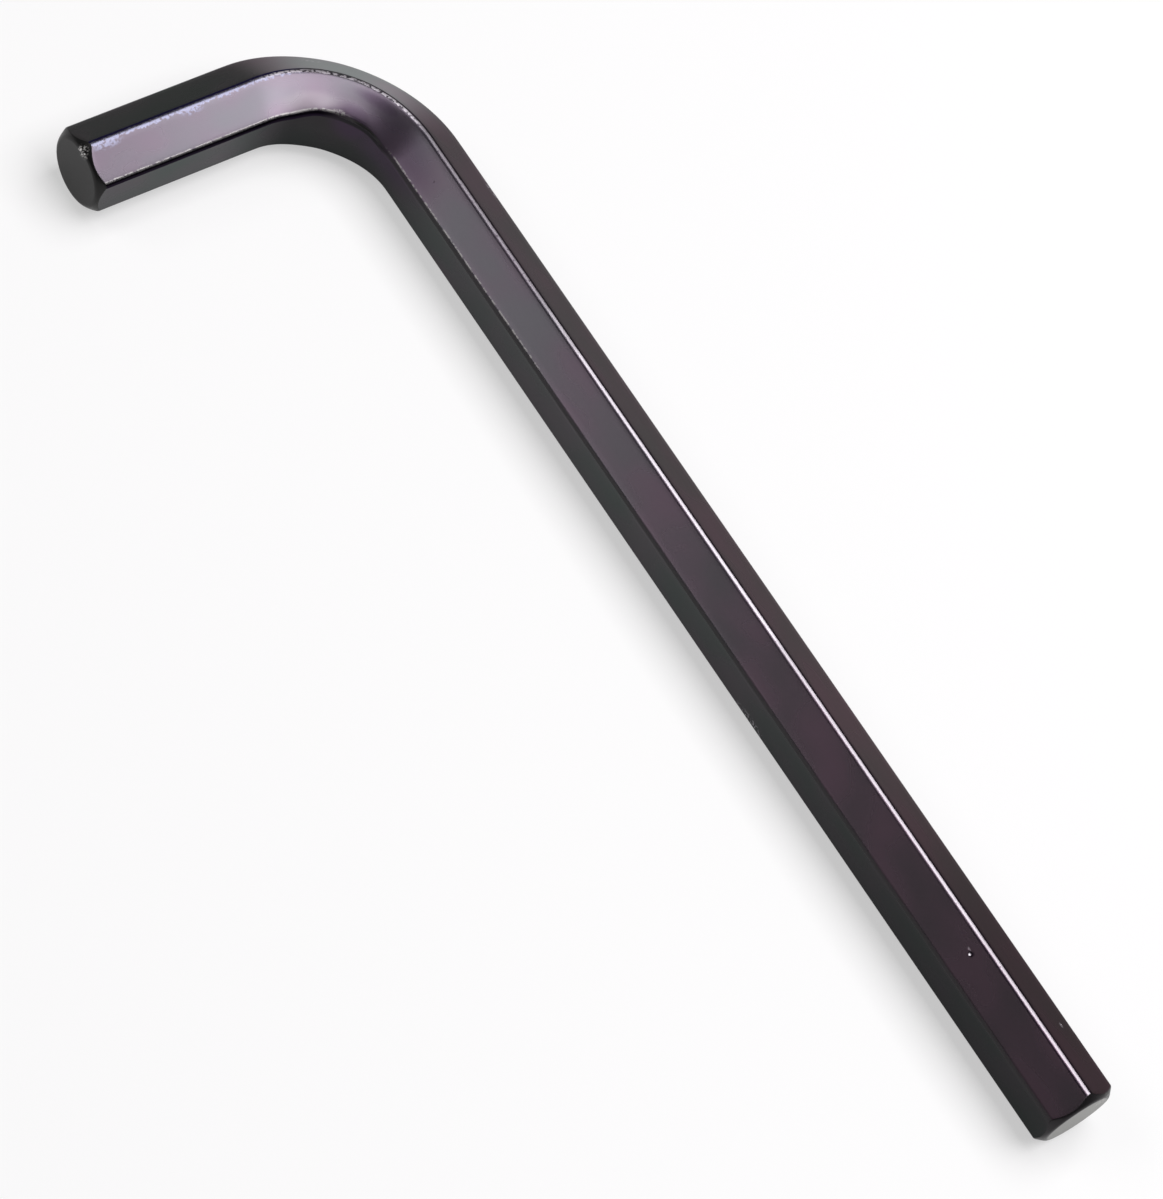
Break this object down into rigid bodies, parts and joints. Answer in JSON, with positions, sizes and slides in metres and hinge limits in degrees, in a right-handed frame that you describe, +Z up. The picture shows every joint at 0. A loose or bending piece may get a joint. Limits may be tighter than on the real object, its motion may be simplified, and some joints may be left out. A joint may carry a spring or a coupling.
{
  "type": "hex key",
  "caption": "L-shaped hex key of black-oxide steel: a hexagonal bar bent at a right angle, with chamfered tips on its long and short legs.",
  "frame": {"origin": "on the table plane, below the middle of the key's length and width", "axes": "+X along the long leg towards its tip, -Y along the short leg towards its tip, +Z up from the table, square to the plane of the bend"},
  "size_m": [0.085, 0.0234, 0.0056],
  "materials": {
    "black_oxide_steel": "satin black oxide with a faint violet cast, worn bright along the long edges"
  },
  "bodies": {
    "root": {"hex_key": "black_oxide_steel"}
  },
  "joints": []
}
